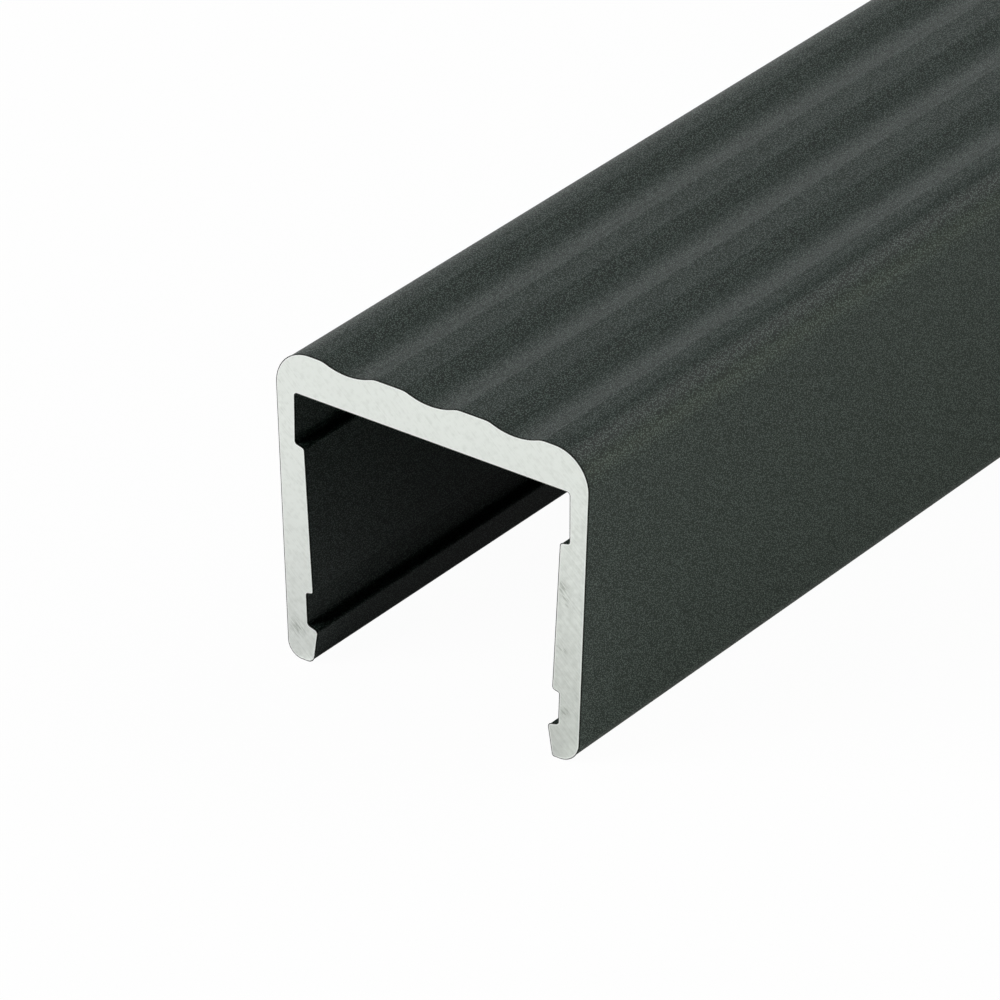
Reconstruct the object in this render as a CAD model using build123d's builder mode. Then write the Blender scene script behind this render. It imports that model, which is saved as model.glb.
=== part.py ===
from build123d import *
import os
from math import cos, radians, sin, tan

# Clip-on capping profile: an extruded aluminium channel that snaps down over the edge of a board.
# The channel opens downwards. +Y runs along the stock and +Z is up. The two feet stand on Z = 0,
# and the origin lies between them, half way along.

# Stock
length = 1000.0
width = 22.0  # over the legs, where they are widest
height = 20.1  # from the feet to the crests of the top
web = 2.66  # from the underside of the web to the crests
corner_radius = 2.35  # outer corners between the top and the legs
toe_in = 2.0  # degrees that each leg leans towards the middle

# Flutes along the top
flute_count = 3
flute_pitch = 5.88
flute_width = 3.6
flute_depth = 0.38
flute_edge_radius = 1.6

# Inside of each leg from the web down, each wall measured level from the outer face
recess_wall = 1.25
recess_drop = 3.3  # from the web's underside to the step
pad_head_wall = 1.79
pad_foot_wall = 1.95
groove_wall = 1.455
groove_height = 2.1
lip_wall = 2.19
lip_height = 2.4  # from the feet to the floor of the snap groove
lip_lead_in = 0.33  # how far the lip draws back towards its foot
step_fall = 13.0  # degrees that the pad's two ends slope
lip_fall = 16.0  # degrees that the lip's top slopes

# Rounded corners of the legs, as shares of the step or the foot that carries them
step_round_share = 0.32
web_round_share = 0.08
foot_outer_round_share = 0.77
foot_inner_round_share = 0.18

# Top of the legs' outer faces, where they meet the corner rounds
lean = radians(toe_in)
shoulder_x = width / 2 - corner_radius + corner_radius * cos(lean)
shoulder_z = height - corner_radius - corner_radius * sin(lean)


def outer_face(level):
    """Distance from the middle plane to a leg's outer face at a level above the feet."""
    return shoulder_x - (shoulder_z - level) * tan(lean)


def step_level(start_level, step, fall):
    """Level at the far side of a sloping step of a given width."""
    return start_level - step * tan(radians(fall))


# Inside corners of the right leg, from the web down
web_level = height - web
recess_x = outer_face(web_level) - recess_wall
recess_level = web_level - recess_drop

pad_head_x = outer_face(recess_level) - pad_head_wall
pad_head_step = recess_x - pad_head_x
pad_head_level = step_level(recess_level, pad_head_step, step_fall)

groove_head_level = lip_height + groove_height
groove_head_x = outer_face(groove_head_level) - groove_wall
pad_foot_x = outer_face(groove_head_level) - pad_foot_wall
pad_foot_step = groove_head_x - pad_foot_x
pad_foot_level = step_level(groove_head_level, -pad_foot_step, step_fall)

groove_foot_x = outer_face(lip_height) - groove_wall
lip_x = outer_face(lip_height) - lip_wall
lip_step = groove_foot_x - lip_x
lip_level = step_level(lip_height, lip_step, lip_fall)

foot_inner_x = lip_x + lip_lead_in
foot_outer_x = outer_face(0)
foot_width = foot_outer_x - foot_inner_x

leg_points = [
    (0, web_level),
    (recess_x, web_level),
    (recess_x, recess_level),
    (pad_head_x, pad_head_level),
    (pad_foot_x, pad_foot_level),
    (groove_head_x, groove_head_level),
    (groove_foot_x, lip_height),
    (lip_x, lip_level),
    (foot_inner_x, 0),
    (foot_outer_x, 0),
    (shoulder_x, shoulder_z),
]
leg_rounds = [
    web_round_share * web,
    step_round_share * pad_head_step,
    step_round_share * pad_head_step,
    step_round_share * pad_foot_step,
    step_round_share * pad_foot_step,
    step_round_share * lip_step,
    step_round_share * lip_step,
    foot_inner_round_share * foot_width,
    foot_outer_round_share * foot_width,
]

# Flutes: a round of this radius cuts each one to its width and depth
flute_radius = (flute_width**2 / 4 + flute_depth**2) / (2 * flute_depth)
flute_axis_level = height - flute_depth + flute_radius

os.makedirs("parts", exist_ok=True)

with BuildPart() as capping_profile:
    with BuildSketch(Plane.XZ) as section:
        with BuildLine():
            leg = FilletPolyline(*leg_points, radius=leg_rounds)
            corner = JernArc(leg @ 1, leg % 1, corner_radius, 90 + toe_in)
            Line(corner @ 1, (0, height))
            mirror(about=Plane.YZ)
        make_face()
        with Locations((0, flute_axis_level)):
            with GridLocations(flute_pitch, flute_pitch, flute_count, 1):
                Circle(flute_radius, mode=Mode.SUBTRACT)
        crest_edges = section.vertices().group_by(Axis.Y)[-1].sort_by(Axis.X)[1:-1]
        fillet(crest_edges, flute_edge_radius)
    extrude(amount=length / 2, both=True)

capping_profile.part.label = "capping_profile"
export_step(capping_profile.part, "parts/capping_profile.step")
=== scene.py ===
"""Looks of the clip-on capping profile: the swept stock, its coat and sawn ends, and a studio."""

import logging
from dataclasses import dataclass, field
from enum import Enum
from functools import reduce
from math import acos, asin, atan2, ceil, cos, pi, radians, sin, sqrt, tan

import bmesh
import bpy
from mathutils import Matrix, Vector


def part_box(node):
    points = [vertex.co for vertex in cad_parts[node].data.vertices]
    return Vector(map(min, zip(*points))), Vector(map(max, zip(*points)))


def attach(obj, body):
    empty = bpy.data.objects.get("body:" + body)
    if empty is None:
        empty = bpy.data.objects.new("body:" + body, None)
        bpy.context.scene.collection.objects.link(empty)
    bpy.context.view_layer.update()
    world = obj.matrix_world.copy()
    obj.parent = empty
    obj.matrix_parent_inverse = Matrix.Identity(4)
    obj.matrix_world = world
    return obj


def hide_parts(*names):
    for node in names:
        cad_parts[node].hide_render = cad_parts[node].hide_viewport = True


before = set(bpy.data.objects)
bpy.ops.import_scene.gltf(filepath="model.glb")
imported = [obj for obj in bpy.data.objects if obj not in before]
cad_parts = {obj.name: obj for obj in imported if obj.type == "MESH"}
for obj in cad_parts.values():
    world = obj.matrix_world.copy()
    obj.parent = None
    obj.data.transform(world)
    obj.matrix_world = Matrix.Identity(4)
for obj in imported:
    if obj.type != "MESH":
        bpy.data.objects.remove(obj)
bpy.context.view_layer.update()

LOG = logging.getLogger("capping_profile")
CAD_NODE = "capping_profile"
BODY = "root"
# Faces of the burred rim round each cut, where a highlight is painted
BURR_HIGHLIGHT_MARK = "burr_highlight"
CM3_IN_M3 = 1e6

Point = tuple[float, float]
Place = tuple[float, float, float]
Colour = tuple[float, float, float, float]
Socket = bpy.types.NodeSocket
Feed = float | int | str | tuple | bpy.types.ID | Socket

WHITE: Colour = (1, 1, 1, 1)
GREENISH: Place = (0.93, 1.0, 0.84)

# Octaves of a noise, how far from its middle it reaches, and a shorter reach for crisper spots
NOISE_DETAIL = 2.0
NOISE_MIDDLE = 0.5
NOISE_REACH = 0.2
SHORT_NOISE_REACH = 0.15

# Stations of the sweep, counted from either end: the coat's edge break, then the scorched band
BREAK_STATION = 1.0
SCORCH_STATION = 2.0
SAME_STATION = 0.5

# Depths that part the stations at a cut, in edge breaks
CUT_REACH = 0.5
BREAK_REACH = 1.5


class Side(Enum):
    """The two legs of the channel, by the sign of X."""

    RIGHT = 1
    LEFT = -1


class Ray(Enum):
    """Kinds of ray that may see the background as white, by their Light Path output."""

    CAMERA = "Is Camera Ray"
    GLOSSY = "Is Glossy Ray"
    TRANSMISSION = "Is Transmission Ray"


def arc(centre: Point, radius: float, start: float, turn: float, step: float) -> list[Point]:
    """Points along an arc, both ends included.

    Args:
        centre: Centre of the arc.
        radius: Radius of the arc.
        start: Angle of the first point, in radians from +X.
        turn: Angle from the first point to the last, anticlockwise if positive.
        step: Largest angle between two points.

    Returns:
        The points in order.
    """
    count = max(2, ceil(abs(turn) / step))
    angles = [start + turn * i / count for i in range(count + 1)]
    return [(centre[0] + radius * cos(a), centre[1] + radius * sin(a)) for a in angles]


def rounded_corner(
    before: Point, corner: Point, after: Point, radius: float, step: float
) -> list[Point]:
    """Points of the arc that rounds one corner of an outline.

    Args:
        before: The corner that comes before this one.
        corner: The corner to round.
        after: The corner that comes after this one.
        radius: Radius of the round.
        step: Largest angle between two points of the arc.

    Returns:
        The arc's points, from the side of the corner before to that of the corner after.
    """
    come = (Vector(corner) - Vector(before)).normalized()
    go = (Vector(after) - Vector(corner)).normalized()
    hand = 1 if come.x * go.y > come.y * go.x else -1
    turn = hand * acos(max(-1.0, min(1.0, come.dot(go))))
    inward = Vector((-come.y, come.x)) * hand
    centre = Vector(corner) - come * radius * tan(abs(turn) / 2) + inward * radius
    return arc((centre.x, centre.y), radius, atan2(-inward.y, -inward.x), turn, step)


def from_angles(azimuth: float, elevation: float) -> Vector:
    """Direction of a place by its angles: azimuth 0 is towards -Y, and a quarter turn towards +X."""
    level = cos(elevation)
    return Vector((sin(azimuth) * level, -cos(azimuth) * level, sin(elevation)))


def link(thing: bpy.types.Object) -> bpy.types.Object:
    """Put an object into the scene."""
    bpy.context.scene.collection.objects.link(thing)
    return thing


@dataclass(frozen=True)
class Foot:
    """What each leg's foot has of its own: its lip's height, and its rounds as shares of its width."""

    lip_height: float
    outer_round_share: float
    inner_round_share: float


@dataclass(frozen=True)
class Section:
    """The drawn section in metres: X across, Z up, the feet on zero and the middle plane at X = 0."""

    width: float
    height: float
    web: float = 0.00266
    corner_radius: float = 0.00235
    toe_in: float = radians(2)
    flute_count: int = 3
    flute_pitch: float = 0.00588
    flute_width: float = 0.0036
    flute_depth: float = 0.00038
    flute_edge_radius: float = 0.0016
    recess_wall: float = 0.00125
    recess_drop: float = 0.0033
    pad_head_wall: float = 0.00179
    pad_foot_wall: float = 0.00195
    groove_wall: float = 0.001455
    groove_height: float = 0.0021
    lip_wall: float = 0.00219
    lip_lead_in: float = 0.00033
    step_fall: float = radians(13)
    lip_fall: float = radians(16)
    step_round_share: float = 0.32
    web_round_share: float = 0.08
    right_foot: Foot = Foot(lip_height=0.0022, outer_round_share=0.77, inner_round_share=0.06)
    left_foot: Foot = Foot(lip_height=0.0024, outer_round_share=0.55, inner_round_share=0.28)
    arc_step: float = radians(6)
    hollow_step: float = radians(3)

    def outer_face(self, level: float) -> float:
        """Where a leg's outer face stands.

        Args:
            level: Height above the feet.

        Returns:
            The face's distance from the middle plane at that level.
        """
        shoulder_x = self.width / 2 - self.corner_radius * (1 - cos(self.toe_in))
        shoulder_z = self.height - self.corner_radius * (1 + sin(self.toe_in))
        return shoulder_x - (shoulder_z - level) * tan(self.toe_in)

    def leg_corners(self, foot: Foot) -> list[tuple[Point, float]]:
        """Corners of a leg on the right, from the web's underside down the inside and up the outside.

        Args:
            foot: The foot that the leg ends in.

        Returns:
            Each corner's place and the radius that rounds it.
        """
        web_level = self.height - self.web
        recess_level = web_level - self.recess_drop
        recess_x = self.outer_face(web_level) - self.recess_wall
        pad_head_x = self.outer_face(recess_level) - self.pad_head_wall
        pad_head_step = recess_x - pad_head_x
        groove_level = foot.lip_height + self.groove_height
        groove_head_x = self.outer_face(groove_level) - self.groove_wall
        pad_foot_x = self.outer_face(groove_level) - self.pad_foot_wall
        pad_foot_step = groove_head_x - pad_foot_x
        groove_foot_x = self.outer_face(foot.lip_height) - self.groove_wall
        lip_x = self.outer_face(foot.lip_height) - self.lip_wall
        lip_step = groove_foot_x - lip_x
        foot_inner_x = lip_x + self.lip_lead_in
        foot_outer_x = self.outer_face(0)
        foot_width = foot_outer_x - foot_inner_x
        pad_head_round = self.step_round_share * pad_head_step
        pad_foot_round = self.step_round_share * pad_foot_step
        lip_round = self.step_round_share * lip_step
        return [
            ((recess_x, web_level), self.web_round_share * self.web),
            ((recess_x, recess_level), pad_head_round),
            ((pad_head_x, recess_level - pad_head_step * tan(self.step_fall)), pad_head_round),
            ((pad_foot_x, groove_level + pad_foot_step * tan(self.step_fall)), pad_foot_round),
            ((groove_head_x, groove_level), pad_foot_round),
            ((groove_foot_x, foot.lip_height), lip_round),
            ((lip_x, foot.lip_height - lip_step * tan(self.lip_fall)), lip_round),
            ((foot_inner_x, 0), foot.inner_round_share * foot_width),
            ((foot_outer_x, 0), foot.outer_round_share * foot_width),
            ((self.outer_face(self.height), self.height), self.corner_radius),
        ]

    def leg(self, side: Side) -> list[Point]:
        """Rounded outline of one leg.

        Args:
            side: Which leg.

        Returns:
            The right leg's points from the web's underside to the top, or the left leg's back again.
        """
        corners = self.leg_corners(self.right_foot if side is Side.RIGHT else self.left_foot)
        web_level = corners[0][0][1]
        places = [(0, web_level), *(place for place, _ in corners), (0, self.height)]
        points = []
        for i, (place, radius) in enumerate(corners):
            points += rounded_corner(places[i], place, places[i + 2], radius, self.arc_step)
        placed = [(side.value * x, z) for x, z in points]
        return placed if side is Side.RIGHT else placed[::-1]

    def flute(self, middle: float) -> list[Point]:
        """Outline of one flute.

        Args:
            middle: X of the flute's middle.

        Returns:
            Points of its right-hand crest round, its hollow and its left-hand crest round.
        """
        edge = self.flute_edge_radius
        hollow = (self.flute_width**2 / 4 + self.flute_depth**2) / (2 * self.flute_depth)
        reach = sqrt(self.flute_depth * (2 * (hollow + edge) - self.flute_depth))
        swing = asin(reach / (hollow + edge))
        crest_level = self.height - edge
        axis_level = self.height - self.flute_depth + hollow
        upright = pi / 2
        right = arc((middle + reach, crest_level), edge, upright, swing, self.arc_step)
        bottom = arc((middle, axis_level), hollow, swing - upright, -2 * swing, self.hollow_step)
        left = arc((middle - reach, crest_level), edge, upright - swing, swing, self.arc_step)
        return right + bottom[1:-1] + left

    def outline(self) -> list[Point]:
        """The whole section.

        Returns:
            Its points, anticlockwise from the right leg's inside corner.
        """
        last = self.flute_count - 1
        flutes = []
        for i in range(self.flute_count):
            flutes += self.flute((last / 2 - i) * self.flute_pitch)
        return self.leg(Side.RIGHT) + flutes + self.leg(Side.LEFT)


@dataclass(frozen=True)
class Wiring:
    """Adds nodes to a node tree and joins them up."""

    tree: bpy.types.NodeTree

    def add(
        self,
        kind: str,
        feeds: dict[str | int, Feed] | None = None,
        options: dict[str, str | bool | int] | None = None,
    ) -> bpy.types.Node:
        """Add one node.

        Args:
            kind: Blender's name of the node type.
            feeds: What goes into each input, a value or another node's output, by index or identifier.
            options: The node's own settings.

        Returns:
            The new node.
        """
        node = self.tree.nodes.new(kind)
        for name, value in (options or {}).items():
            setattr(node, name, value)
        by_identifier = {socket.identifier: socket for socket in node.inputs}
        for key, feed in (feeds or {}).items():
            socket = node.inputs[key] if isinstance(key, int) else by_identifier[key]
            if isinstance(feed, Socket):
                self.tree.links.new(feed, socket)
            else:
                socket.default_value = feed
        return node

    def math(self, operation: str, *terms: Feed) -> Socket:
        """Result of a Math node on its terms."""
        feeds = dict(enumerate(terms))
        return self.add("ShaderNodeMath", feeds, {"operation": operation}).outputs[0]

    def vector(self, operation: str, *terms: Feed) -> Socket:
        """Vector result of a Vector Math node on its terms."""
        feeds = dict(enumerate(terms))
        return self.add("ShaderNodeVectorMath", feeds, {"operation": operation}).outputs[0]

    def measure(self, operation: str, first: Feed, second: Feed) -> Socket:
        """Number that a Vector Math node gives for two vectors."""
        feeds = {0: first, 1: second}
        return self.add("ShaderNodeVectorMath", feeds, {"operation": operation}).outputs["Value"]

    def fold(self, operation: str, values: list[Socket]) -> Socket:
        """Result of a Math node run over some values, one after another."""
        return reduce(lambda first, second: self.math(operation, first, second), values)

    def noise(self, place: Socket, size: float) -> Socket:
        """Noise from 0 to 1 whose spots are about as wide as the size."""
        feeds = {"Vector": place, "Scale": 1 / size, "Detail": NOISE_DETAIL}
        return self.add("ShaderNodeTexNoise", feeds).outputs[0]

    def span(self, value: Feed, low: Point, high: Point) -> Socket:
        """Move a value from one range to another, held inside it.

        Args:
            value: What is moved.
            low: The lower end, before and after.
            high: The upper end, before and after.

        Returns:
            The moved value.
        """
        feeds = {
            "Value": value,
            "From Min": low[0],
            "To Min": low[1],
            "From Max": high[0],
            "To Max": high[1],
        }
        return self.add("ShaderNodeMapRange", feeds).outputs[0]

    def spread(self, noise: Feed, low: float, high: float, reach: float = NOISE_REACH) -> Socket:
        """Stretch a noise over a range and hold it there.

        Args:
            noise: The noise, from 0 to 1.
            low: What its dips become.
            high: What its peaks become.
            reach: How far from the middle its dips and peaks are.

        Returns:
            The stretched noise.
        """
        return self.span(noise, (NOISE_MIDDLE - reach, low), (NOISE_MIDDLE + reach, high))

    def blend(self, share: Feed, first: Feed, second: Feed) -> Socket:
        """Blend two colours.

        Args:
            share: How much of the second colour shows, from 0 to 1.
            first: The first colour.
            second: The second colour.

        Returns:
            The blended colour.
        """
        feeds = {"Factor_Float": share, "A_Color": first, "B_Color": second}
        mix = self.add("ShaderNodeMix", feeds, {"data_type": "RGBA"})
        return next(socket for socket in mix.outputs if socket.identifier == "Result_Color")

    def white_share(self, shares: dict[Ray, float]) -> Socket:
        """How much of the white a ray sees, by its kind.

        Args:
            shares: The share for each kind of ray; all others see none.

        Returns:
            The share for the ray at hand.
        """
        path = self.add("ShaderNodeLightPath").outputs
        seen = [self.math("MULTIPLY", path[ray.value], share) for ray, share in shares.items()]
        return self.fold("MAXIMUM", seen)


def blank_material(name: str) -> tuple[bpy.types.Material, Wiring]:
    """Make a node material with nothing in it.

    Args:
        name: The material's name.

    Returns:
        The material, and the wiring of its tree.
    """
    material = bpy.data.materials.new(name)
    material.use_nodes = True
    material.node_tree.nodes.clear()
    return material, Wiring(material.node_tree)


@dataclass(frozen=True)
class AnthraciteCoat:
    """Matt powder coat: a dark green-grey film of fine grains."""

    dark: Colour = (0.0025, 0.0090, 0.0060, 1)
    light: Colour = (0.0870, 0.1140, 0.1020, 1)
    grain_size: float = 0.0001
    grain_scatter: float = 0.85
    grain_turn: Place = (0.5, 0.7, 0.3)
    grain_height: float = 0.00001
    dot_core: float = 0.26
    dot_rim: float = 0.46
    dot_scatter: float = 0.15
    mottle_size: float = 0.006
    mottle_share: float = 0.012
    smooth: float = 0.31
    rough: float = 0.48
    specular: float = 0.30

    def material(self) -> bpy.types.Material:
        """Lay the coat on Object coordinates: a dot on each grain, a low dome under it, a slow mottle.

        Returns:
            The material.
        """
        material, wiring = blank_material("anthracite_coat")
        place = wiring.add("ShaderNodeTexCoord").outputs["Object"]
        feeds = {"Vector": place, "Rotation": self.grain_turn}
        turned = wiring.add("ShaderNodeMapping", feeds).outputs[0]
        feeds = {"Vector": turned, "Scale": 1 / self.grain_size, "Randomness": self.grain_scatter}
        grains = wiring.add("ShaderNodeTexVoronoi", feeds).outputs
        chance = wiring.add("ShaderNodeSeparateColor", {0: grains["Color"]}).outputs[0]
        dot = wiring.span(grains["Distance"], (self.dot_core, 1), (self.dot_rim, 0))
        strength = wiring.span(chance, (0, 1 - self.dot_scatter), (1, 1 + self.dot_scatter))
        shade = wiring.math("MULTIPLY", dot, strength)
        mottle = wiring.noise(place, self.mottle_size)
        mottle = wiring.spread(mottle, -self.mottle_share, self.mottle_share)
        share = wiring.math("ADD", shade, mottle)
        dome = wiring.math("SUBTRACT", 1.0, grains["Distance"])
        bump = wiring.add("ShaderNodeBump", {"Height": dome, "Distance": self.grain_height})
        shader = wiring.add(
            "ShaderNodeBsdfPrincipled",
            {
                "Base Color": wiring.blend(share, self.dark, self.light),
                "Roughness": wiring.span(shade, (0, self.rough), (1, self.smooth)),
                "Specular IOR Level": self.specular,
                "Normal": bump.outputs[0],
            },
        )
        wiring.add("ShaderNodeOutputMaterial", {"Surface": shader.outputs[0]})
        return material


@dataclass(frozen=True)
class BrokenCoat:
    """The coat's broken edge round a saw cut: dull and darker than its face."""

    dark: Colour = (0.004, 0.005, 0.004, 1)
    light: Colour = (0.016, 0.020, 0.017, 1)
    chip_size: float = 0.0003
    roughness: float = 0.8
    specular: float = 0.1

    def material(self) -> bpy.types.Material:
        """Chip the film on Object coordinates.

        Returns:
            The material.
        """
        material, wiring = blank_material("broken_coat")
        place = wiring.add("ShaderNodeTexCoord").outputs["Object"]
        chips = wiring.spread(wiring.noise(place, self.chip_size), 0, 1, SHORT_NOISE_REACH)
        shader = wiring.add(
            "ShaderNodeBsdfPrincipled",
            {
                "Base Color": wiring.blend(chips, self.dark, self.light),
                "Roughness": self.roughness,
                "Specular IOR Level": self.specular,
            },
        )
        wiring.add("ShaderNodeOutputMaterial", {"Surface": shader.outputs[0]})
        return material


@dataclass(frozen=True)
class SawnAluminium:
    """Bare metal on the sawn ends: slanting saw lines, painted shade to the feet, a painted rim
    highlight.
    """

    metal: Colour = (0.907, 0.942, 0.905, 1)
    # Darker metal for the scuffs and saw lines, and for the painted shade towards the feet
    rubbed_and_shaded: Colour = (0.52, 0.55, 0.51, 1)
    # Painted highlight: near-white metal on the burred rim, standing in for the light its edge catches
    burr_highlight: Colour = (0.97, 0.985, 0.97, 1)
    burr_highlight_share: float = 0.65
    line_width: float = 0.0001
    line_length: float = 0.004
    line_slant: float = radians(-42)
    line_shares: Point = (-0.08, 0.14)
    stroke_width: float = 0.00009
    stroke_length: float = 0.0006
    stroke_from: float = 0.46
    stroke_to: float = 0.6
    scuffs: tuple[Place, ...] = (
        (0.0092, 0.0112, 0.0006),
        (0.0093, 0.0104, 0.0006),
        (0.0092, 0.0072, 0.0005),
        (0.0094, 0.0032, 0.0005),
        (-0.0097, 0.002, 0.0008),
    )
    cloud_size: float = 0.0003
    cloud_share: float = 0.15
    # Painted shade: the metal darkens towards the lower right, standing in for the shadowed floor it
    # mirrors near the feet
    shade_way: Place = (0.532, 0, -0.847)
    shade_from: float = -0.012
    shade_to: float = 0.0054
    shade_share: float = 0.38
    smooth: float = 0.36
    rough: float = 0.46
    line_depth: float = 0.000002

    def streaks(self, wiring: Wiring, place: Socket, width: float, length: float) -> Socket:
        """Noise drawn out along the way that the blade ran.

        Args:
            wiring: The material's wiring.
            place: Object coordinates.
            width: About how wide one streak is.
            length: About how long one streak is.

        Returns:
            The noise, from 0 to 1.
        """
        feeds = {"Vector": place, "Rotation": (0, self.line_slant, 0)}
        turned = wiring.add("ShaderNodeMapping", feeds).outputs[0]
        return wiring.noise(wiring.vector("MULTIPLY", turned, (width / length, 1, 1)), width)

    def scuffed(self, wiring: Wiring, place: Socket) -> Socket:
        """How strongly a place on the sawn end is scuffed.

        Args:
            wiring: The material's wiring.
            place: Object coordinates.

        Returns:
            A share that falls from 1 in the middle of a scuff to 0 at its rim.
        """
        flat = wiring.vector("MULTIPLY", place, (1, 0, 1))
        shares = []
        for x, z, radius in self.scuffs:
            away = wiring.measure("DISTANCE", flat, (x, 0, z))
            shares.append(wiring.span(away, (0, 1), (radius, 0)))
        return wiring.fold("MAXIMUM", shares)

    def material(self) -> bpy.types.Material:
        """Saw the metal on Object coordinates, with painted shade towards the feet and a painted
        highlight on the rim that the mesh marks.

        Returns:
            The material.
        """
        material, wiring = blank_material("sawn_aluminium")
        place = wiring.add("ShaderNodeTexCoord").outputs["Object"]
        lines = self.streaks(wiring, place, self.line_width, self.line_length)
        strokes = self.streaks(wiring, place, self.stroke_width, self.stroke_length)
        strokes = wiring.span(strokes, (self.stroke_from, 0), (self.stroke_to, 1))
        scratches = wiring.math("MULTIPLY", self.scuffed(wiring, place), strokes)
        # Painted shade: darker towards the feet, in place of the floor's shadow seen in the metal
        way = wiring.measure("DOT_PRODUCT", place, self.shade_way)
        painted_shade = wiring.span(way, (self.shade_from, 0), (self.shade_to, self.shade_share))
        clouds = wiring.noise(place, self.cloud_size)
        clouds = wiring.spread(clouds, -self.cloud_share, self.cloud_share)
        hair = wiring.spread(lines, *self.line_shares, SHORT_NOISE_REACH)
        wear_and_shade = wiring.fold("ADD", [painted_shade, scratches, clouds, hair])
        colour = wiring.blend(wear_and_shade, self.metal, self.rubbed_and_shaded)
        # Painted highlight: blend the marked rim towards near-white
        mark = wiring.add("ShaderNodeAttribute", None, {"attribute_name": BURR_HIGHLIGHT_MARK}).outputs["Fac"]
        painted_highlight = wiring.math("MULTIPLY", mark, self.burr_highlight_share)
        bump = wiring.add("ShaderNodeBump", {"Height": lines, "Distance": self.line_depth})
        shader = wiring.add(
            "ShaderNodeBsdfPrincipled",
            {
                "Base Color": wiring.blend(painted_highlight, colour, self.burr_highlight),
                "Metallic": 1.0,
                "Roughness": wiring.spread(lines, self.smooth, self.rough),
                "Normal": bump.outputs[0],
            },
        )
        wiring.add("ShaderNodeOutputMaterial", {"Surface": shader.outputs[0]})
        return material


@dataclass(frozen=True)
class PaleFloor:
    """Pale paper that the camera sees as white, with the shadow left in."""

    paper: Colour = (0.82, 0.82, 0.82, 1)
    seen_white: float = 0.97
    mirrored_white: float = 0.11

    def material(self) -> bpy.types.Material:
        """Lay diffuse paper, with the white added for the rays that show the background.

        Returns:
            The material.
        """
        material, wiring = blank_material("pale_floor")
        shares = {
            Ray.CAMERA: self.seen_white,
            Ray.TRANSMISSION: self.seen_white,
            Ray.GLOSSY: self.mirrored_white,
        }
        paper = wiring.add("ShaderNodeBsdfDiffuse", {"Color": self.paper})
        white = wiring.add("ShaderNodeEmission", {"Color": WHITE, "Strength": 1.0})
        mix = wiring.add(
            "ShaderNodeMixShader",
            {0: wiring.white_share(shares), 1: paper.outputs[0], 2: white.outputs[0]},
        )
        wiring.add("ShaderNodeOutputMaterial", {"Surface": mix.outputs[0]})
        return material


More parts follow.
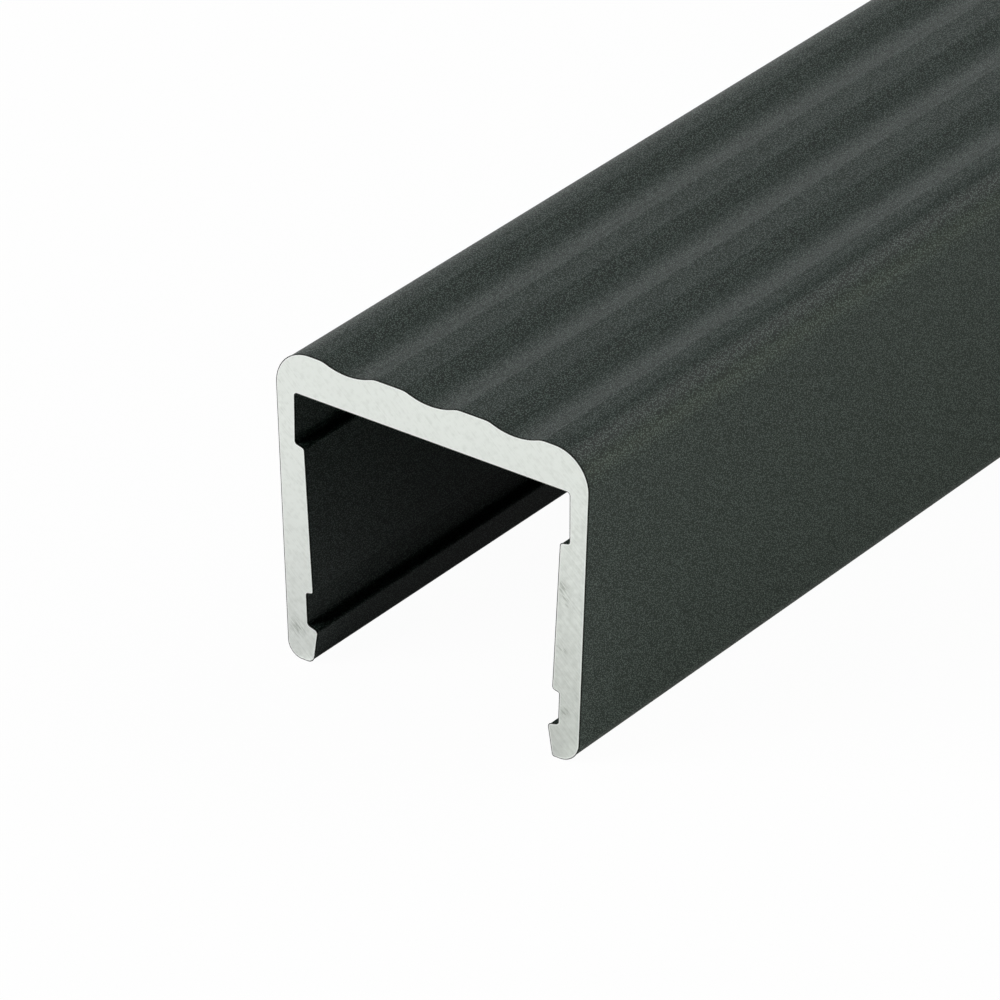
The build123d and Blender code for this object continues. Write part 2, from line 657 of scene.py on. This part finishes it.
@dataclass
class CappingStock:
    """The length of stock: one section swept along Y, coated all round and sawn off at both ends."""

    section: Section
    length: float
    stations: int = 25
    coat_thickness: float = 0.000052
    coat_curl: float = 0.000036
    edge_break: float = 0.00001
    scorch_width: float = 0.00013
    burr_width: float = 0.00008
    sharp_angle: float = radians(15)
    sawn_facing: float = 0.99
    coat: AnthraciteCoat = field(default_factory=AnthraciteCoat)
    coat_edge: BrokenCoat = field(default_factory=BrokenCoat)
    sawn: SawnAluminium = field(default_factory=SawnAluminium)

    def draw_section(self) -> bpy.types.Object:
        """Draw the section's outline, turned as a sweep along +Y reads it.

        Returns:
            An object with a closed loop of edges.
        """
        points = [(x, -z, 0) for x, z in reversed(self.section.outline())]
        count = len(points)
        mesh = bpy.data.meshes.new("section_outline")
        edges = [(i, (i + 1) % count) for i in range(count)]
        mesh.from_pydata(points, edges, [])
        return link(bpy.data.objects.new("section_outline", mesh))

    def sweep_tree(
        self, sizes: dict[str, float], finishes: dict[str, bpy.types.Material]
    ) -> bpy.types.NodeTree:
        """Geometry nodes that sweep the section, trim its ends and give each face its finish.

        Args:
            sizes: Named lengths and angles that become inputs of the tree.
            finishes: Named materials that become inputs of the tree.

        Returns:
            The node tree.
        """
        tree = bpy.data.node_groups.new("extruded_stock", "GeometryNodeTree")
        tree.interface.new_socket("Section", in_out="INPUT", socket_type="NodeSocketGeometry")
        for name in sizes:
            tree.interface.new_socket(name, in_out="INPUT", socket_type="NodeSocketFloat")
        tree.interface.new_socket("Stations", in_out="INPUT", socket_type="NodeSocketInt")
        for name in finishes:
            tree.interface.new_socket(name, in_out="INPUT", socket_type="NodeSocketMaterial")
        tree.interface.new_socket("Stock", in_out="OUTPUT", socket_type="NodeSocketGeometry")
        wiring = Wiring(tree)
        given = wiring.add("NodeGroupInput").outputs
        swept = self.sweep_nodes(wiring, given)
        trimmed = self.end_nodes(wiring, given, swept)
        dressed = self.finish_nodes(wiring, given, trimmed)
        wiring.add("NodeGroupOutput", {0: dressed})
        return tree

    def sweep_nodes(self, wiring: Wiring, given: bpy.types.NodeOutputs) -> Socket:
        """Sweep the section along a straight path that ends in an edge break and a scorched band.

        Args:
            wiring: The tree's wiring.
            given: The tree's inputs.

        Returns:
            The swept mesh, with its two ends closed.
        """
        half = wiring.math("MULTIPLY", given["Length"], 0.5)
        start = wiring.add("ShaderNodeCombineXYZ", {"Y": wiring.math("MULTIPLY", half, -1.0)})
        stop = wiring.add("ShaderNodeCombineXYZ", {"Y": half})
        feeds = {
            "Count": given["Stations"],
            "Start Location": start.outputs[0],
            "Offset": stop.outputs[0],
        }
        line = wiring.add("GeometryNodeMeshLine", feeds, {"mode": "END_POINTS"})
        index = wiring.add("GeometryNodeInputIndex").outputs[0]
        place = wiring.add("GeometryNodeInputPosition").outputs[0]
        along = wiring.add("ShaderNodeSeparateXYZ", {0: place}).outputs["Y"]
        to_stop = wiring.math("SUBTRACT", wiring.math("SUBTRACT", given["Stations"], 1.0), index)
        from_end = wiring.math("MINIMUM", index, to_stop)
        at_break = wiring.math("COMPARE", from_end, BREAK_STATION, SAME_STATION)
        at_scorch = wiring.math("COMPARE", from_end, SCORCH_STATION, SAME_STATION)
        depth = wiring.math("MULTIPLY", at_break, given["Edge Break"])
        depth = wiring.math("MULTIPLY_ADD", at_scorch, given["Scorch Width"], depth)
        reach = wiring.math("SUBTRACT", half, depth)
        moved = wiring.math("MULTIPLY", wiring.math("SIGN", along), reach)
        spaced = wiring.add(
            "GeometryNodeSetPosition",
            {
                "Geometry": line.outputs[0],
                "Selection": wiring.math("MAXIMUM", at_break, at_scorch),
                "Position": wiring.add("ShaderNodeCombineXYZ", {"Y": moved}).outputs[0],
            },
        )
        path = wiring.add("GeometryNodeMeshToCurve", {"Mesh": spaced.outputs[0]})
        profile = wiring.add("GeometryNodeMeshToCurve", {"Mesh": given["Section"]})
        feeds = {"Curve": path.outputs[0], "Profile Curve": profile.outputs[0], "Fill Caps": True}
        return wiring.add("GeometryNodeCurveToMesh", feeds).outputs[0]

    def end_nodes(self, wiring: Wiring, given: bpy.types.NodeOutputs, stock: Socket) -> Socket:
        """Curl the coat out at each cut, draw its edge in to the metal, and mark a burred rim inside
        it for a painted highlight.

        Args:
            wiring: The tree's wiring.
            given: The tree's inputs.
            stock: The swept mesh.

        Returns:
            The mesh with its ends trimmed.
        """
        normal = wiring.add("GeometryNodeInputNormal").outputs[0]
        outward = wiring.vector("NORMALIZE", wiring.vector("MULTIPLY", normal, (1, 0, 1)))
        capture = wiring.add("GeometryNodeCaptureAttribute", None, {"domain": "POINT"})
        capture.capture_items.new("VECTOR", "Outward")
        wiring.tree.links.new(stock, capture.inputs[0])
        wiring.tree.links.new(outward, capture.inputs[1])
        outward = capture.outputs[1]
        along = self.from_middle(wiring)
        half = wiring.math("MULTIPLY", given["Length"], 0.5)
        to_break = wiring.math("MULTIPLY_ADD", given["Edge Break"], -BREAK_REACH, half)
        to_cut = wiring.math("MULTIPLY_ADD", given["Edge Break"], -CUT_REACH, half)
        at_cut = wiring.math("GREATER_THAN", along, to_cut)
        inset = wiring.math("MULTIPLY", at_cut, given["Coat Thickness"])
        inset = wiring.math("SUBTRACT", inset, given["Coat Curl"])
        curled = wiring.add(
            "GeometryNodeSetPosition",
            {
                "Geometry": capture.outputs[0],
                "Selection": wiring.math("GREATER_THAN", along, to_break),
                "Offset": self.inwards(wiring, outward, inset),
            },
        )
        caps = wiring.math("GREATER_THAN", self.facing(wiring), given["Sawn Facing"])
        feeds = {
            "Mesh": curled.outputs[0],
            "Selection": caps,
            "Offset Scale": 0.0,
            "Individual": False,
        }
        rim = wiring.add("GeometryNodeExtrudeMesh", feeds, {"mode": "FACES"})
        burred = wiring.add(
            "GeometryNodeSetPosition",
            {
                "Geometry": rim.outputs["Mesh"],
                "Selection": rim.outputs["Top"],
                "Offset": self.inwards(wiring, outward, given["Burr Width"]),
            },
        )
        feeds = {"Geometry": burred.outputs[0], "Name": BURR_HIGHLIGHT_MARK, "Value": rim.outputs["Side"]}
        options = {"data_type": "FLOAT", "domain": "FACE"}
        return wiring.add("GeometryNodeStoreNamedAttribute", feeds, options).outputs[0]

    def finish_nodes(self, wiring: Wiring, given: bpy.types.NodeOutputs, stock: Socket) -> Socket:
        """Shade the rounds smooth and the edges sharp, and give each face its finish.

        Args:
            wiring: The tree's wiring.
            given: The tree's inputs.
            stock: The trimmed mesh.

        Returns:
            The dressed mesh.
        """
        smooth = wiring.add("GeometryNodeSetShadeSmooth", {"Geometry": stock}, {"domain": "FACE"})
        angle = wiring.add("GeometryNodeInputMeshEdgeAngle").outputs[0]
        sharp = wiring.add(
            "GeometryNodeSetShadeSmooth",
            {
                "Geometry": smooth.outputs[0],
                "Selection": wiring.math("GREATER_THAN", angle, given["Sharp Angle"]),
                "Shade Smooth": False,
            },
            {"domain": "EDGE"},
        )
        dressed = wiring.add("GeometryNodeRealizeInstances", {0: sharp.outputs[0]}).outputs[0]
        facing = self.facing(wiring)
        along = self.from_middle(wiring)
        half = wiring.math("MULTIPLY", given["Length"], 0.5)
        to_scorch = wiring.math("SUBTRACT", half, given["Scorch Width"])
        edges = wiring.math("GREATER_THAN", along, to_scorch)
        caps = wiring.math("GREATER_THAN", facing, given["Sawn Facing"])
        for name, where in (("Coat", True), ("Coat Edge", edges), ("Sawn", caps)):
            feeds = {"Geometry": dressed, "Selection": where, "Material": given[name]}
            dressed = wiring.add("GeometryNodeSetMaterial", feeds).outputs[0]
        return dressed

    def size_along(self, wiring: Wiring, vector: Socket) -> Socket:
        """How long a vector is along the stock, whichever way it points."""
        parts = wiring.add("ShaderNodeSeparateXYZ", {0: vector}).outputs
        return wiring.math("ABSOLUTE", parts["Y"])

    def from_middle(self, wiring: Wiring) -> Socket:
        """How far along the stock a place is from its middle."""
        return self.size_along(wiring, wiring.add("GeometryNodeInputPosition").outputs[0])

    def facing(self, wiring: Wiring) -> Socket:
        """How squarely a face looks along the stock, from 0 on its sides to 1 on its ends."""
        return self.size_along(wiring, wiring.add("GeometryNodeInputNormal").outputs[0])

    def inwards(self, wiring: Wiring, outward: Socket, distance: Socket) -> Socket:
        """Offset into the metal by a distance, square to the section's outline."""
        feeds = {"Vector": outward, "Scale": wiring.math("MULTIPLY", distance, -1.0)}
        return wiring.add("ShaderNodeVectorMath", feeds, {"operation": "SCALE"}).outputs[0]

    def build(self) -> bpy.types.Object:
        """Sweep the section into one plain mesh and set it on the part's body.

        Returns:
            The finished piece.
        """
        sizes = {
            "Length": self.length,
            "Coat Thickness": self.coat_thickness,
            "Coat Curl": self.coat_curl,
            "Edge Break": self.edge_break,
            "Scorch Width": self.scorch_width,
            "Burr Width": self.burr_width,
            "Sharp Angle": self.sharp_angle,
            "Sawn Facing": self.sawn_facing,
        }
        finishes = {
            "Coat": self.coat.material(),
            "Coat Edge": self.coat_edge.material(),
            "Sawn": self.sawn.material(),
        }
        source = self.draw_section()
        sweep = source.modifiers.new("sweep", "NODES")
        sweep.node_group = self.sweep_tree(sizes, finishes)
        settings = {**sizes, "Stations": self.stations, **finishes}
        for item in sweep.node_group.interface.items_tree:
            if item.name in settings:
                sweep[item.identifier] = settings[item.name]
        flats = source.modifiers.new("true_flats", "WEIGHTED_NORMAL")
        flats.keep_sharp = True
        depsgraph = bpy.context.evaluated_depsgraph_get()
        evaluated = source.evaluated_get(depsgraph)
        mesh = bpy.data.meshes.new_from_object(
            evaluated, preserve_all_data_layers=True, depsgraph=depsgraph
        )
        bpy.data.objects.remove(source)
        piece = link(bpy.data.objects.new("capping_stock", mesh))
        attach(piece, BODY)
        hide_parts(CAD_NODE)
        return piece

    def volume(self, piece: bpy.types.Object) -> float:
        """Measure the volume inside the piece.

        Args:
            piece: The finished piece.

        Returns:
            The volume in cubic metres, negative if the faces point inwards.
        """
        solid = bmesh.new()
        solid.from_mesh(piece.data)
        volume = solid.calc_volume(signed=True)
        solid.free()
        return volume


@dataclass(frozen=True)
class Softbox:
    """A soft light with an even face, turned to the stock's front end."""

    name: str
    azimuth: float
    elevation: float
    width: float
    height: float
    radiance: float
    tint: Place = WHITE[:3]
    distance: float = 4.0

    def build(self, target: Vector) -> bpy.types.Object:
        """Hang the light and turn it to its target.

        Args:
            target: The place that the light looks at.

        Returns:
            The light.
        """
        lamp = bpy.data.lights.new(self.name, "AREA")
        lamp.shape = "RECTANGLE"
        lamp.size = self.width
        lamp.size_y = self.height
        lamp.energy = self.radiance * pi * self.width * self.height
        lamp.color = self.tint
        light = link(bpy.data.objects.new(self.name, lamp))
        towards = from_angles(self.azimuth, self.elevation)
        light.location = target + towards * self.distance
        light.rotation_euler = towards.to_track_quat("Z", "Y").to_euler()
        light.visible_camera = False
        return light


@dataclass(frozen=True)
class Backdrop:
    """White paper round the horizon, which the camera sees all over and the part only low down."""

    white_to: float = radians(1)
    dark_from: float = radians(3)
    fill: float = 0.2

    def build(self) -> bpy.types.World:
        """Make the world white where the background shows, and dim for rays that only light the part.

        Returns:
            The world, set as the scene's own.
        """
        world = bpy.data.worlds.new("backdrop")
        world.use_nodes = True
        world.node_tree.nodes.clear()
        wiring = Wiring(world.node_tree)
        direction = wiring.add("ShaderNodeTexCoord").outputs["Generated"]
        height = wiring.add("ShaderNodeSeparateXYZ", {0: direction}).outputs["Z"]
        band = wiring.span(height, (sin(self.white_to), 1.0), (sin(self.dark_from), 0.0))
        mirrored = wiring.white_share({Ray.GLOSSY: 1.0})
        lit = wiring.math("MULTIPLY", band, wiring.math("MAXIMUM", mirrored, self.fill))
        seen = wiring.white_share({Ray.CAMERA: 1.0, Ray.TRANSMISSION: 1.0})
        strength = wiring.math("MAXIMUM", seen, lit)
        background = wiring.add("ShaderNodeBackground", {"Color": WHITE, "Strength": strength})
        wiring.add("ShaderNodeOutputWorld", {"Surface": background.outputs[0]})
        bpy.context.scene.world = world
        return world


@dataclass
class Studio:
    """Floor, backdrop, soft lights and camera round the stock's front end."""

    front: Vector
    floor_radius: float = 45.0
    floor_sides: int = 96
    floor_gap: float = 0.00006
    azimuth: float = radians(36.81)
    elevation: float = radians(29.325)
    distance: float = 0.4367
    aim: Place = (-0.000489, 0.00717, 0.010313)
    lens: float = 274.43
    floor: PaleFloor = field(default_factory=PaleFloor)
    backdrop: Backdrop = field(default_factory=Backdrop)
    lights: tuple[Softbox, ...] = (
        Softbox("front_left", radians(-38), radians(26), width=2.4, height=2.4, radiance=10.8),
        Softbox("low_strip", radians(225), radians(16.5), width=3.6, height=0.63, radiance=2.5),
        Softbox("back_right", radians(159), radians(46), width=2.6, height=2.4, radiance=2.7),
        Softbox(
            "right_low", radians(115), radians(17), width=3.0, height=2.0, radiance=4.0, tint=GREENISH
        ),
        Softbox("back_left_high", radians(215), radians(62), width=2.0, height=2.0, radiance=0.5),
    )

    def build_floor(self) -> bpy.types.Object:
        """Lay the floor a hair below the feet, so that the two never share a plane.

        Returns:
            The floor.
        """
        mesh = bpy.data.meshes.new("floor")
        disc = bmesh.new()
        bmesh.ops.create_circle(
            disc, cap_ends=True, segments=self.floor_sides, radius=self.floor_radius
        )
        bmesh.ops.translate(disc, verts=disc.verts, vec=(0, 0, -self.floor_gap))
        disc.to_mesh(mesh)
        disc.free()
        mesh.materials.append(self.floor.material())
        floor = link(bpy.data.objects.new("floor", mesh))
        return floor

    def build_camera(self) -> bpy.types.Object:
        """Set the camera at the angle that shows the sawn end, the top and the right side.

        Returns:
            The camera, set as the scene's own.
        """
        camera = link(bpy.data.objects.new("camera", bpy.data.cameras.new("camera")))
        back = from_angles(self.azimuth, self.elevation)
        camera.data.lens = self.lens
        camera.location = self.front + Vector(self.aim) + back * self.distance
        camera.rotation_euler = back.to_track_quat("Z", "Y").to_euler()
        bpy.context.scene.camera = camera
        return camera

    def build(self) -> list[bpy.types.Object]:
        """Lay the floor, hang the backdrop and the lights, and set the camera.

        Returns:
            The floor, the lights and the camera.
        """
        bpy.context.scene.view_settings.view_transform = "Standard"
        self.backdrop.build()
        floor = self.build_floor()
        lights = [light.build(self.front) for light in self.lights]
        return [floor, *lights, self.build_camera()]


def main() -> None:
    """Build the stock and the studio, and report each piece."""
    logging.basicConfig(level=logging.INFO, format="%(name)s: %(message)s")
    low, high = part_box(CAD_NODE)
    width, length, height = high - low
    stock = CappingStock(Section(width, height), length)
    piece = stock.build()
    volume = stock.volume(piece) * CM3_IN_M3
    LOG.info("%s: %d faces, %.2f cm3", piece.name, len(piece.data.polygons), volume)
    front = Vector((0, -length / 2, 0))
    for thing in Studio(front).build():
        LOG.info("%s at %s", thing.name, [round(x, 3) for x in thing.location])


if __name__ == "__main__":
    main()
